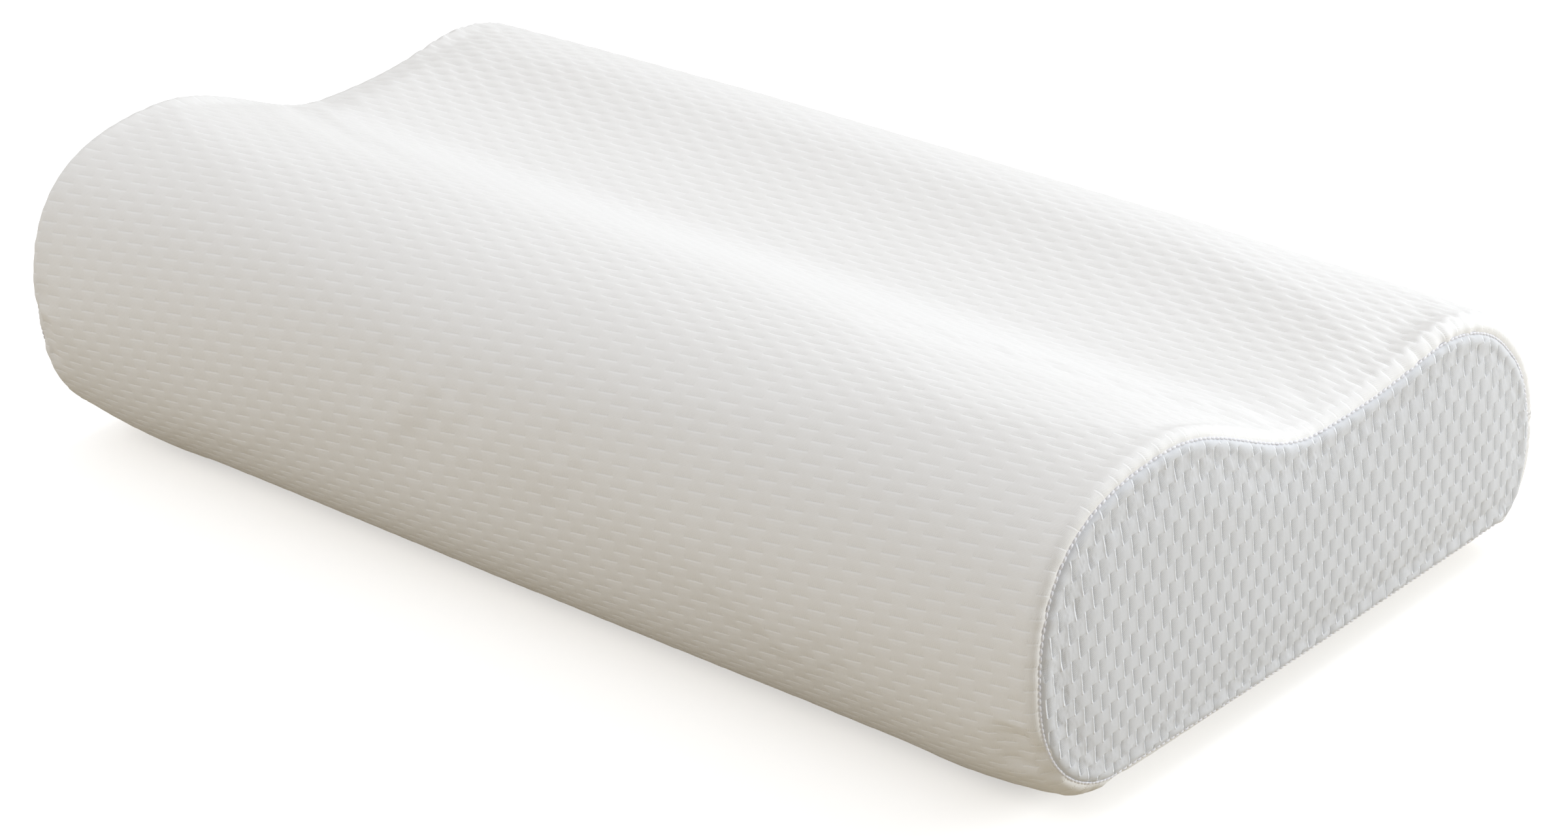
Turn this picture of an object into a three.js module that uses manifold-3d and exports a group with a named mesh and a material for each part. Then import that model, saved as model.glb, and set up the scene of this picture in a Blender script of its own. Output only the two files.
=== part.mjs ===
// Contour bed pillow: a moulded foam core in a thin sewn liner, inside a zip-off knitted cover.
// Millimetres. X runs along the pillow, -Y is the front with the high lobe, +Z is up.
// The origin is the middle of the flat face that the pillow rests on.

import * as THREE from 'three';
import { mergeVertices } from 'three/addons/utils/BufferGeometryUtils.js';
import Module from 'manifold-3d';

const wasm = await Module();
wasm.setup();

// ---- Driving dimensions ----

const LENGTH = 500;
const DEPTH = 291;

// Cross-section: where it turns from rising to falling, or from going out to coming in.
const FRONT_LOBE = { y: -73, z: 126 };
const VALLEY = { y: 11, z: 99 };
const BACK_LOBE = { y: 86, z: 106 };
const FRONT_BULGE = { y: -DEPTH / 2, z: 58 };
const BACK_BULGE = { y: DEPTH / 2, z: 44 };
const SOLE_FRONT = { y: -104, z: 0 };
const SOLE_BACK = { y: 123, z: 0 };

const END_ROUND_RUN = 7; // length over which each end turns in
const END_ROUND_DROP = 12; // how far it has turned in there
const COVER_SEAM_INSET = 5; // from the outline to the cover's end seam
const LINER_SEAM_INSET = 3;
const PANEL_CROWN = 0.8; // height of an end panel's rounded rim, on each face
const PANEL_RIM = 5; // width of that rim
const GAP = 0.3; // clearance between pieces that touch

const KNIT_THICKNESS = 2;
const SEAM_THREAD = 0.9;
const LINER_INSET = 5; // from the cover's outside to the liner's outside
const LINER_THICKNESS = 0.8;
const LINER_THREAD = 0.5;

// Zip, centred on the back where the cover stands upright.
const ZIP = { length: 400, slot: 10, z: BACK_BULGE.z };
const TAPE = { width: 14, thickness: 0.6, overhang: 12 };
const COIL = { slit: 1.2, width: 2.4, height: 2 };
const STOP = { length: 4, height: 2.3 };
const ZIP_STITCH = { width: 0.8, height: 0.4, setback: 4 };

const SLIDER = { length: 12, noseWidth: 9, tailWidth: 8.6, plate: 1, corner: 1.6 };
const SLIDER_BRIDGE = { length: 4, width: 0.6 };
const SLIDER_FLANGE = { length: 7, width: 0.8, depth: 1.5 };
const LUG = { length: 5.2, width: 1.8, height: 2.8, windowLength: 2.6, windowFrom: 0.5, windowTo: 2 };
const PULL = { length: 24, width: 6, tipWidth: 4.6, thickness: 0.9, corner: 1.5 };
const PULL_EYE = { width: 3, length: 3.4, bar: 0.8 };
const PULL_HOLE_RADIUS = 1.1;
const END_CLEARANCE = 0.5; // between the slider and a stop
const REAR_CLEARANCE = 0.6; // between the slider and the back of the tapes, which curve in

const LABEL = { length: 32, width: 20, thickness: 0.5, fromEnd: 1.6, z: 25 };

// Straight steps in each curve of the cross-section, each rounded end and each strip's width.
const CURVE_STEPS = 10;
const ROUND_STEPS = 3;
const STRIP_STEPS = 4;

// ---- Materials ----

const material = (color, roughness, metalness = 0) =>
  new THREE.MeshStandardMaterial({ color, roughness, metalness });

const WRAP_KNIT = material(0xf1f0ec, 0.9);
const END_KNIT = material(0xeaebee, 0.9);
const THREAD = material(0xe2e2ea, 0.7);
const TRICOT = material(0xf6f5f2, 0.95);
const FOAM = material(0xefe6c8, 0.95);
const ZIP_TAPE = material(0xf2f2f0, 0.85);
const NYLON = material(0xf4f4f2, 0.45);
const METAL = material(0xc9ccd0, 0.3, 1);
const LABEL_CLOTH = material(0xfafafa, 0.6);

// ---- Cross-section ----

// One stretch of the outline. At each end it keeps to its tangent for that share of the span,
// and the tangent is level or upright.
function stretch(path, from, to, leaves, leaveShare, arrives, arriveShare) {
  const along = { y: to.y - from.y, z: to.z - from.z };
  const first =
    leaves === 'upright'
      ? [from.y, from.z + leaveShare * along.z]
      : [from.y + leaveShare * along.y, from.z];
  const second =
    arrives === 'upright'
      ? [to.y, to.z - arriveShare * along.z]
      : [to.y - arriveShare * along.y, to.z];
  path.bezierCurveTo(...first, ...second, to.y, to.z);
}

function crossSection() {
  const path = new THREE.Path();
  path.moveTo(SOLE_FRONT.y, SOLE_FRONT.z);
  path.lineTo(SOLE_BACK.y, SOLE_BACK.z);
  stretch(path, SOLE_BACK, BACK_BULGE, 'level', 0.6, 'upright', 0.59);
  stretch(path, BACK_BULGE, BACK_LOBE, 'upright', 0.74, 'level', 0.46);
  stretch(path, BACK_LOBE, VALLEY, 'level', 0.2, 'level', 0.6);
  stretch(path, VALLEY, FRONT_LOBE, 'level', 0.33, 'level', 0.38);
  stretch(path, FRONT_LOBE, FRONT_BULGE, 'level', 0.68, 'upright', 0.71);
  stretch(path, FRONT_BULGE, SOLE_FRONT, 'upright', 0.71, 'level', 0.42);
  const points = path.getPoints(CURVE_STEPS);
  points.pop();
  return points;
}

const OUTLINE = crossSection();

// A line of points moved inwards by a distance, square to its edges. The outline runs so that
// the pillow is on its left.
function inset(points, distance, closed = true) {
  const last = points.length - 1;
  return points.map((point, i) => {
    const before = points[i > 0 ? i - 1 : closed ? last : 0];
    const after = points[i < last ? i + 1 : closed ? 0 : last];
    const edges = [point.clone().sub(before), after.clone().sub(point)].filter((e) => e.length() > 0);
    const normals = edges.map((e) => new THREE.Vector2(-e.y, e.x).normalize());
    const inward = normals.reduce((sum, n) => sum.clone().add(n)).normalize();
    return point.clone().addScaledVector(inward, distance / inward.dot(normals[0]));
  });
}

// The outline's rise from the sole to the back lobe.
const BACK_RISE = OUTLINE.slice(1, 2 + 2 * CURVE_STEPS);

function backPointAt(height) {
  const i = BACK_RISE.findIndex((point) => point.y >= height);
  const below = BACK_RISE[i - 1];
  const above = BACK_RISE[i];
  return below.clone().lerp(above, (height - below.y) / (above.y - below.y));
}

// ---- Solids ----

// Shapes drawn in the Y-Z plane are extruded along X.
const DRAWN_TO_PILLOW = new THREE.Matrix4().set(0, 0, 1, 0, 1, 0, 0, 0, 0, 1, 0, 0, 0, 0, 0, 1);

function alongX(shape, xFrom, xTo, options = {}) {
  const depth = xTo - xFrom;
  return new THREE.ExtrudeGeometry(shape, { depth, bevelEnabled: false, ...options })
    .translate(0, 0, xFrom)
    .applyMatrix4(DRAWN_TO_PILLOW);
}

// Shapes drawn in the X-Z plane are extruded along Y.
function alongY(shape, yFrom, yTo) {
  return new THREE.ExtrudeGeometry(shape, { depth: yTo - yFrom, bevelEnabled: false, curveSegments: 6 })
    .rotateX(Math.PI / 2)
    .translate(0, yTo, 0);
}

const outlineShape = (distance) => new THREE.Shape(inset(OUTLINE, distance));

// The whole form, smaller by a distance all round, with its ends turned in.
function pillowForm(distance) {
  const straight = LENGTH / 2 - END_ROUND_RUN;
  return alongX(outlineShape(distance), -straight, straight, {
    bevelEnabled: true,
    bevelThickness: END_ROUND_RUN - distance,
    bevelSize: END_ROUND_DROP - distance,
    bevelOffset: distance - END_ROUND_DROP,
    bevelSegments: ROUND_STEPS,
  });
}

function box(x, y, z) {
  const [width, depth, height] = [x, y, z].map(([from, to]) => to - from);
  const [midX, midY, midZ] = [x, y, z].map(([from, to]) => (from + to) / 2);
  return new THREE.BoxGeometry(width, depth, height).translate(midX, midY, midZ);
}

// A strip that follows the back of the cover between two heights.
function backStrip(zFrom, zTo, outerInset, innerInset, xFrom, xTo) {
  const line = Array.from({ length: STRIP_STEPS + 1 }, (_, i) =>
    backPointAt(THREE.MathUtils.lerp(zFrom, zTo, i / STRIP_STEPS)));
  const outer = inset(line, outerInset, false);
  const inner = inset(line, innerInset, false).reverse();
  return alongX(new THREE.Shape([...outer, ...inner]), xFrom, xTo);
}

// A straight-sided outline with each corner rounded.
function rounded(corners, radius) {
  const shape = new THREE.Shape();
  corners.forEach(([x, y], i) => {
    const corner = new THREE.Vector2(x, y);
    const before = new THREE.Vector2(...corners[(i + corners.length - 1) % corners.length]);
    const after = new THREE.Vector2(...corners[(i + 1) % corners.length]);
    const start = corner.clone().add(before.sub(corner).setLength(radius));
    const end = corner.clone().add(after.sub(corner).setLength(radius));
    if (i === 0) shape.moveTo(start.x, start.y);
    else shape.lineTo(start.x, start.y);
    shape.quadraticCurveTo(x, y, end.x, end.y);
  });
  return shape;
}

function toSolid(geometry) {
  const bare = geometry.clone();
  bare.deleteAttribute('normal');
  bare.deleteAttribute('uv');
  const merged = mergeVertices(bare, 1e-4);
  const vertProperties = merged.attributes.position.array;
  const triVerts = new Uint32Array(merged.index.array);
  return new wasm.Manifold(new wasm.Mesh({ numProp: 3, vertProperties, triVerts }));
}

function toGeometry(solid) {
  const mesh = solid.getMesh();
  const geometry = new THREE.BufferGeometry();
  geometry.setAttribute('position', new THREE.BufferAttribute(mesh.vertProperties, 3));
  geometry.setIndex(new THREE.BufferAttribute(mesh.triVerts, 1));
  return geometry;
}

function cut(geometry, tools) {
  return toGeometry(tools.reduce((left, tool) => left.subtract(toSolid(tool)), toSolid(geometry)));
}

function join(geometries) {
  return toGeometry(geometries.map(toSolid).reduce((sum, solid) => sum.add(solid)));
}

function add(parent, name, geometry, look) {
  const mesh = new THREE.Mesh(geometry, look);
  mesh.name = name;
  parent.add(mesh);
}

// ---- Foam and sewn shells ----

const pillow = new THREE.Group();
const SIDES = [['left', -1], ['right', 1]];

// How far along X the pillow form reaches at a distance in from the outline.
function endReach(formInset, distance) {
  const run = END_ROUND_RUN - formInset;
  const left = (END_ROUND_DROP - distance) / (END_ROUND_DROP - formInset);
  return LENGTH / 2 - END_ROUND_RUN + run * Math.sqrt(1 - left ** 2);
}

// A wrap round the section, closed at each end by a shaped panel and a ring of thread.
function addSewnShell({ wrap, end, seam, distance, thickness, seamInset, thread, look, endLook, slots }) {
  const lip = distance + seamInset;
  const threadOuter = lip + GAP;
  const panelEdge = threadOuter + thread + GAP;
  const mouth = alongX(outlineShape(lip), -LENGTH, LENGTH);
  add(pillow, wrap, cut(pillowForm(distance), [pillowForm(distance + thickness), mouth, ...slots]), look);

  const endX = LENGTH / 2 - distance;
  const crown = Math.min(PANEL_CROWN, thickness / 4);
  const panel = alongX(outlineShape(panelEdge), endX - thickness + crown, endX - crown, {
    bevelEnabled: true,
    bevelThickness: crown,
    bevelSize: PANEL_RIM,
    bevelOffset: -PANEL_RIM,
    bevelSegments: ROUND_STEPS,
  });
  const threadShape = outlineShape(threadOuter);
  threadShape.holes.push(new THREE.Path(inset(OUTLINE, threadOuter + thread)));
  const threadX = endReach(distance, lip);
  const ring = alongX(threadShape, threadX - thread, threadX);
  for (const [side, sign] of SIDES) {
    const turned = new THREE.Group();
    turned.scale.x = sign;
    pillow.add(turned);
    add(turned, `${end}_${side}`, panel, endLook);
    add(turned, `${seam}_${side}`, ring, THREAD);
  }
}

const { slot } = ZIP;
const zipMouth = box(
  [-ZIP.length / 2, ZIP.length / 2],
  [DEPTH / 4, DEPTH],
  [ZIP.z - slot / 2, ZIP.z + slot / 2],
);

add(pillow, 'foam_core', pillowForm(LINER_INSET + LINER_THICKNESS + GAP), FOAM);

addSewnShell({
  wrap: 'liner_wrap',
  end: 'liner_end',
  seam: 'liner_seam',
  distance: LINER_INSET,
  thickness: LINER_THICKNESS,
  seamInset: LINER_SEAM_INSET,
  thread: LINER_THREAD,
  look: TRICOT,
  endLook: TRICOT,
  slots: [],
});

addSewnShell({
  wrap: 'cover_wrap',
  end: 'cover_end',
  seam: 'seam_thread',
  distance: 0,
  thickness: KNIT_THICKNESS,
  seamInset: COVER_SEAM_INSET,
  thread: SEAM_THREAD,
  look: WRAP_KNIT,
  endLook: END_KNIT,
  slots: [zipMouth],
});

// ---- Zip ----

const TAPE_OUTER = KNIT_THICKNESS + GAP; // inset from the cover's outside
const TAPE_INNER = TAPE_OUTER + TAPE.thickness;
const coilBase = DEPTH / 2 - TAPE_OUTER + GAP;
const coilEdge = COIL.slit / 2 + COIL.width;
const coilEndX = ZIP.length / 2 - STOP.length - GAP;

// A row of coil is a half-round bar, with the crest outwards.
function coilRow(sign) {
  const middle = ZIP.z + sign * (COIL.slit + COIL.width) / 2;
  const shape = new THREE.Shape();
  shape.absellipse(coilBase + COIL.height / 2, middle, COIL.height / 2, COIL.width / 2, 0, 2 * Math.PI);
  return alongX(shape, -coilEndX, coilEndX, { curveSegments: 5 });
}

function stopBlock(xFrom, zFrom, zTo) {
  return box([xFrom, xFrom + STOP.length], [coilBase, coilBase + STOP.height], [zFrom, zTo]);
}

for (const [row, sign] of [['lower', -1], ['upper', 1]]) {
  const heights = (from, to) => [ZIP.z + sign * from, ZIP.z + sign * to].sort((a, b) => a - b);
  const tapeEndX = ZIP.length / 2 + TAPE.overhang;
  const stitchLine = slot / 2 + ZIP_STITCH.setback;
  const stitchHeights = heights(stitchLine, stitchLine + ZIP_STITCH.width);
  const tapeHeights = heights(COIL.slit / 2, COIL.slit / 2 + TAPE.width);
  add(
    pillow,
    `zip_tape_${row}`,
    backStrip(...tapeHeights, TAPE_OUTER, TAPE_INNER, -tapeEndX, tapeEndX),
    ZIP_TAPE,
  );
  add(pillow, `zip_coil_${row}`, coilRow(sign), NYLON);
  add(
    pillow,
    `zip_stitch_${row}`,
    backStrip(...stitchHeights, -GAP - ZIP_STITCH.height, -GAP, -tapeEndX, tapeEndX),
    THREAD,
  );
  const topStop = stopBlock(ZIP.length / 2 - STOP.length, ...heights(COIL.slit / 2, coilEdge));
  add(pillow, `zip_top_stop_${row}`, topStop, METAL);
}
add(pillow, 'zip_bottom_stop', stopBlock(-ZIP.length / 2, ZIP.z - coilEdge, ZIP.z + coilEdge), METAL);

// ---- Slider and pull ----

// The slider's own frame: its middle on X, the cover's outer face at Y = 0, the zip's middle on Z.
const slider = new THREE.Group();
slider.position.set(
  ZIP.length / 2 - STOP.length - END_CLEARANCE - SLIDER.length / 2,
  DEPTH / 2,
  ZIP.z,
);
pillow.add(slider);

function sliderBody() {
  const half = SLIDER.length / 2;
  const outline = [
    [-half, -SLIDER.tailWidth / 2],
    [half, -SLIDER.noseWidth / 2],
    [half, SLIDER.noseWidth / 2],
    [-half, SLIDER.tailWidth / 2],
  ];
  const frontY = coilBase + COIL.height - DEPTH / 2 + GAP;
  const rearY = -TAPE_INNER - REAR_CLEARANCE;
  const plate = rounded(outline, SLIDER.corner);
  const front = alongY(plate, frontY, frontY + SLIDER.plate);
  const rear = alongY(plate, rearY - SLIDER.plate, rearY);
  const plateMiddle = SLIDER.plate / 2;
  const bridge = box(
    [half - SLIDER.corner - SLIDER_BRIDGE.length, half - SLIDER.corner],
    [rearY - plateMiddle, frontY + plateMiddle],
    [-SLIDER_BRIDGE.width / 2, SLIDER_BRIDGE.width / 2],
  );
  const flanges = SIDES.map(([, sign]) => {
    const z = [sign * (coilEdge + GAP), sign * (coilEdge + GAP + SLIDER_FLANGE.width)];
    return box(
      [-SLIDER_FLANGE.length / 2, SLIDER_FLANGE.length / 2],
      [frontY - SLIDER_FLANGE.depth, frontY + plateMiddle],
      z.sort((a, b) => a - b),
    );
  });
  const arch = new THREE.Shape();
  const lugTop = LUG.height;
  arch.moveTo(-LUG.length / 2, -plateMiddle);
  arch.lineTo(LUG.length / 2, -plateMiddle);
  arch.lineTo(LUG.length / 2, lugTop / 2);
  arch.quadraticCurveTo(LUG.length / 2, lugTop, LUG.windowLength / 2, lugTop);
  arch.lineTo(-LUG.windowLength / 2, lugTop);
  arch.quadraticCurveTo(-LUG.length / 2, lugTop, -LUG.length / 2, lugTop / 2);
  const window = [
    new THREE.Vector2(-LUG.windowLength / 2, LUG.windowFrom),
    new THREE.Vector2(LUG.windowLength / 2, LUG.windowFrom),
    new THREE.Vector2(LUG.windowLength / 2, LUG.windowTo),
    new THREE.Vector2(-LUG.windowLength / 2, LUG.windowTo),
  ];
  arch.holes.push(new THREE.Path(window));
  const lug = new THREE.ExtrudeGeometry(arch, { depth: LUG.width, bevelEnabled: false, curveSegments: 5 })
    .translate(0, frontY + SLIDER.plate, -LUG.width / 2);
  return { body: join([front, rear, bridge, ...flanges, lug]), faceY: frontY + SLIDER.plate };
}

const { body: sliderGeometry, faceY: sliderFaceY } = sliderBody();
add(slider, 'zip_slider', sliderGeometry, METAL);

// The pull hangs by a bar through the lug's window. It swings about that bar, along Z.
const pull = new THREE.Group();
pull.position.set(0, sliderFaceY + (LUG.windowFrom + LUG.windowTo) / 2, 0);
slider.add(pull);

function pullPlate() {
  const barEdge = PULL_EYE.bar / 2;
  const shape = rounded(
    [
      [barEdge, -PULL.width / 2],
      [barEdge, PULL.width / 2],
      [barEdge - PULL.length, PULL.tipWidth / 2],
      [barEdge - PULL.length, -PULL.tipWidth / 2],
    ],
    PULL.corner,
  );
  const eye = new THREE.Path([
    new THREE.Vector2(-barEdge, -PULL_EYE.width / 2),
    new THREE.Vector2(-barEdge, PULL_EYE.width / 2),
    new THREE.Vector2(-barEdge - PULL_EYE.length, PULL_EYE.width / 2),
    new THREE.Vector2(-barEdge - PULL_EYE.length, -PULL_EYE.width / 2),
  ]);
  const hole = new THREE.Path();
  hole.absarc(barEdge - PULL.length + PULL.tipWidth / 2, 0, PULL_HOLE_RADIUS, 0, 2 * Math.PI, true);
  shape.holes.push(eye, hole);
  return alongY(shape, -PULL.thickness / 2, PULL.thickness / 2);
}

add(pull, 'zip_pull', pullPlate(), METAL);

// ---- Care label ----

add(
  pillow,
  'care_label',
  backStrip(
    LABEL.z - LABEL.width / 2,
    LABEL.z + LABEL.width / 2,
    -GAP - LABEL.thickness,
    -GAP,
    -LENGTH / 2 + LABEL.fromEnd,
    -LENGTH / 2 + LABEL.fromEnd + LABEL.length,
  ),
  LABEL_CLOTH,
);

export default pillow;
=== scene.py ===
"""A contour bed pillow, in metres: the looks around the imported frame.

A foam core lies in a thin sewn liner, inside a knitted cover with shaped end panels and a zip.
Every soft piece is made from one outline and one rule for how the ends turn in. The knit's
relief is worked out from the cloth's own coordinates, which its material reads as well.
"""

import contextlib
import math

import bmesh
import bpy
import numpy as np
from mathutils import Matrix, Vector, geometry, kdtree


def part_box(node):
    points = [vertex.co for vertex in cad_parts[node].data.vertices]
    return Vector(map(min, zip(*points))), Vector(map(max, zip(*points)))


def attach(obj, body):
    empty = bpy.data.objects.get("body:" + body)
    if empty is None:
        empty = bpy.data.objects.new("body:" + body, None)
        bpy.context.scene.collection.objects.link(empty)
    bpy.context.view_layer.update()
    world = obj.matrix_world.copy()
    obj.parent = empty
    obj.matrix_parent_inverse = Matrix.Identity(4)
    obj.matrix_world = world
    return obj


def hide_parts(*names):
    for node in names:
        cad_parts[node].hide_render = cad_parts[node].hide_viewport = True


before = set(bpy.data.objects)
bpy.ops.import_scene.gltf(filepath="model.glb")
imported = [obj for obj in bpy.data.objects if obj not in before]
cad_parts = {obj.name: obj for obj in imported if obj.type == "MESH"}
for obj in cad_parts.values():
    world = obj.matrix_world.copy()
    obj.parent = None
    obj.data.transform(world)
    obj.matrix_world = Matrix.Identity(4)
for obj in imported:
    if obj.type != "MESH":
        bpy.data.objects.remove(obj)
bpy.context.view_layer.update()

MM = 0.001

# ---- The pillow's form ----

COVER_LOW, COVER_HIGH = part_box("cover_wrap")
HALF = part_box("cover_end_right")[1].x  # half of the pillow's length
DEPTH = COVER_HIGH.y - COVER_LOW.y

# Where the outline turns, as (y, z).
FRONT_LOBE = (-73 * MM, COVER_HIGH.z)
VALLEY = (11 * MM, 99 * MM)
BACK_LOBE = (86 * MM, 106 * MM)
FRONT_BULGE = (-DEPTH / 2, 58 * MM)
BACK_BULGE = (DEPTH / 2, 44 * MM)
SOLE_FRONT = (-104 * MM, 0)
SOLE_BACK = (123 * MM, 0)

END_RUN = 7 * MM  # length over which each end turns in
END_DROP = 12 * MM  # how far it has turned in there
STRAIGHT = HALF - END_RUN
SHOULDER_EASE = 1.35  # crowds an end's columns towards its seam

SEAM_INSET = 4.6 * MM  # from the outline to the cover's end seam
SEAM_INSET_BACK = 6.3 * MM  # what the high back adds to it
SEAM_INSET_LOBE = 2.6 * MM  # what the back lobe's shoulder adds
SEAM_INSET_FOOT = 3.6 * MM  # what the foot of the front adds
LIFT_FROM = 0.75  # share of the half length where the sole starts to lift
END_LIFT = 8.6 * MM
LIFT_TOP = 56 * MM  # nothing above this lifts
MIDDLE_FULLNESS = 0.0065  # share by which the front stands prouder at mid-length
LEFT_RISE = 2.0 * MM  # how much higher the valley stands at the left end

# ---- The knit ----

PITCH = 4.2 * MM  # between columns of pockets
PERIOD = 14 * MM  # from one pocket to the next in a column; each column starts half of it on
POCKET_SHARE = 0.6  # share of the period that a pocket's groove takes
RIB = 0.78 * MM
LOOP = 0.62 * MM
WRAP_SKEW = (0.06, 0.15)  # how far the pockets' rows rise along the pillow, on top and in front
PANEL_SKEW = (0.13, 0.07)  # how far the rows, then the columns, lean on an end panel

LINER_INSET = 5 * MM
LINER_SEAM_INSET = 3 * MM
LINER_VALLEY = 0.5 * MM
LINER_VALLEY_WIDTH = 1.5 * MM
FOAM_INSET = 6.1 * MM

SLOT_HALF_LENGTH = 200 * MM
SLOT_HALF_WIDTH = 5 * MM
STITCH_LINE = SLOT_HALF_WIDTH + 4.4 * MM  # from the zip to the stitches that hold its tapes


def smooth(low, high, value):
    t = np.clip((value - low) / (high - low), 0, 1)
    return t * t * (3 - 2 * t)


def ridge(distance, height, width):
    """A rounded ridge across that distance."""
    return height * np.exp(-((distance / width) ** 2))


def span(low, high, step):
    """Evenly spaced values from low to just before high."""
    return np.linspace(low, high, max(2, round((high - low) / step)), endpoint=False)


class Outline:
    """The cross-section as a closed line, by distance along it from the zip up over the top."""

    STEPS = 120

    def __init__(self):
        stretches = (
            (BACK_BULGE, BACK_LOBE, "upright", 0.74, "level", 0.46),
            (BACK_LOBE, VALLEY, "level", 0.2, "level", 0.6),
            (VALLEY, FRONT_LOBE, "level", 0.33, "level", 0.38),
            (FRONT_LOBE, FRONT_BULGE, "level", 0.68, "upright", 0.71),
            (FRONT_BULGE, SOLE_FRONT, "upright", 0.71, "level", 0.42),
            (SOLE_FRONT, SOLE_BACK, "level", 0.33, "level", 0.33),
            (SOLE_BACK, BACK_BULGE, "level", 0.6, "upright", 0.59),
        )
        points = np.vstack([self.stretch(*each) for each in stretches])
        closed = np.vstack([points, points[:1]])
        self.distance = np.concatenate([[0], np.cumsum(np.linalg.norm(np.diff(closed, axis=0), axis=1))])
        self.length = self.distance[-1]
        tangent = np.roll(points, -1, 0) - np.roll(points, 1, 0)
        tangent /= np.linalg.norm(tangent, axis=1)[:, None]
        inward = np.stack([-tangent[:, 1], tangent[:, 0]], axis=1)
        self.table = np.hstack([closed, np.vstack([inward, inward[:1]])])

    def stretch(self, start, end, leaves, leave_share, arrives, arrive_share):
        """One curve that keeps to its tangent at each end for that share of the span."""
        start, end = np.array(start), np.array(end)
        axis = {"level": np.array([1, 0]), "upright": np.array([0, 1])}
        first = start + leave_share * (end - start) * axis[leaves]
        second = end - arrive_share * (end - start) * axis[arrives]
        t = np.linspace(0, 1, self.STEPS, endpoint=False)[:, None]
        return (
            (1 - t) ** 3 * start
            + 3 * (1 - t) ** 2 * t * first
            + 3 * (1 - t) * t**2 * second
            + t**3 * end
        )

    def at(self, s, inset=0.0):
        """(y, z) at a distance along the outline and an inset from it."""
        s = np.mod(s, self.length)
        y, z, in_y, in_z = (np.interp(s, self.distance, column) for column in self.table.T)
        return y + inset * in_y, z + inset * in_z


OUTLINE = Outline()


def cover_seam_inset(s):
    y, z = OUTLINE.at(s)
    shoulder = np.exp(-np.hypot(y - 128 * MM, z - 84 * MM) / (24 * MM))
    behind_foot = y + 112 * MM
    run = np.where(behind_foot > 0, 72 * MM, 40 * MM)
    foot = np.exp(-((behind_foot / run) ** 2) - (z / (40 * MM)) ** 2)
    back = np.clip(y / DEPTH, 0, 1) * np.clip(z / (0.35 * DEPTH), 0, 1)
    return SEAM_INSET + SEAM_INSET_BACK * back + SEAM_INSET_LOBE * shoulder + SEAM_INSET_FOOT * foot


def liner_seam_inset(s):
    return np.full(np.shape(s), LINER_SEAM_INSET)


def settle(points):
    """The sole lifts towards the ends, the front is a little fuller at mid-length, and the
    valley fills out towards the left end."""
    x, y, z = points[..., 0], points[..., 1], points[..., 2]
    towards_end = np.clip((np.abs(x) / HALF - LIFT_FROM) / (1 - LIFT_FROM), 0, 1)
    low = np.clip(1 - z / LIFT_TOP, 0, 1)
    fuller = np.where(y < 0, MIDDLE_FULLNESS * (1 - (x / HALF) ** 2), 0)
    in_valley = smooth(-75 * MM, 0, y) * (1 - smooth(0, 70 * MM, y)) * smooth(30 * MM, 90 * MM, z)
    rise = LEFT_RISE * smooth(0.5, 1, -x / HALF) * in_valley
    return np.stack([x, y * (1 + fuller), z + END_LIFT * towards_end**2 * low + rise], axis=-1)


def stations(step, shoulder_steps):
    """Columns along X: each one's place on the straight, and its share of an end's turn."""
    straight = np.concatenate(
        [
            span(-STRAIGHT, -SLOT_HALF_LENGTH, step),
            span(-SLOT_HALF_LENGTH, SLOT_HALF_LENGTH, step),
            span(SLOT_HALF_LENGTH, STRAIGHT, step),
            [STRAIGHT],
        ]
    )
    turn = 1 - (1 - np.linspace(0, 1, shoulder_steps + 1)[1:]) ** SHOULDER_EASE
    x = np.concatenate([-STRAIGHT + 0 * turn, straight, STRAIGHT + 0 * turn])
    return x, np.concatenate([-turn[::-1], 0 * straight, turn])


def tube_points(x, share, s, layer, seam_inset):
    """Points of a wrap, as rows round the section by columns along X, before it settles."""
    drop = END_DROP - layer
    full_turn = np.arccos(1 - np.clip(seam_inset / drop, 0, 1))
    turn = np.abs(share)[None, :] * full_turn[:, None]
    out = x[None, :] + np.sign(share)[None, :] * (END_RUN - layer) * np.sin(turn)
    y, z = OUTLINE.at(s[:, None], layer + drop * (1 - np.cos(turn)))
    return np.stack([out, y, z], axis=-1)


def panel_reach(inset, layer):
    """How far along X an end panel stands at an inset from the outline."""
    left = np.clip((END_DROP - inset) / (END_DROP - layer), 0, 1)
    return STRAIGHT + (END_RUN - layer) * np.sqrt(1 - left**2)


# ---- Meshes ----


def linked(name, data):
    made = bpy.data.objects.new(name, data)
    bpy.context.scene.collection.objects.link(made)
    return made


def make_object(name, points, faces, coordinates=None):
    """An object with that mesh, smooth shaded. coordinates are float values for each point."""
    mesh = bpy.data.meshes.new(name)
    faces = faces.tolist() if isinstance(faces, np.ndarray) else faces
    mesh.from_pydata(np.asarray(points).reshape(-1, 3).tolist(), [], faces)
    for key, values in (coordinates or {}).items():
        layer = mesh.attributes.new(key, "FLOAT", "POINT")
        layer.data.foreach_set("value", np.asarray(values, np.float32).ravel())
    mesh.polygons.foreach_set("use_smooth", np.ones(len(mesh.polygons), bool))
    mesh.update()
    return linked(name, mesh)


def row_lengths(points):
    """Each point's distance along its row, half of each row's length, and the mean length."""
    steps = np.linalg.norm(np.diff(points, axis=1), axis=2)
    along = np.concatenate([np.zeros((len(points), 1)), np.cumsum(steps, axis=1)], axis=1)
    return along, along[:, -1:] / 2, steps.sum(axis=1).mean()


def get_points(made):
    points = np.empty(len(made.data.vertices) * 3, np.float32)
    made.data.vertices.foreach_get("co", points)
    return points.reshape(-1, 3).astype(float)


def set_points(made, points):
    made.data.vertices.foreach_set("co", np.asarray(points, np.float32).ravel())
    made.data.update()


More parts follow.
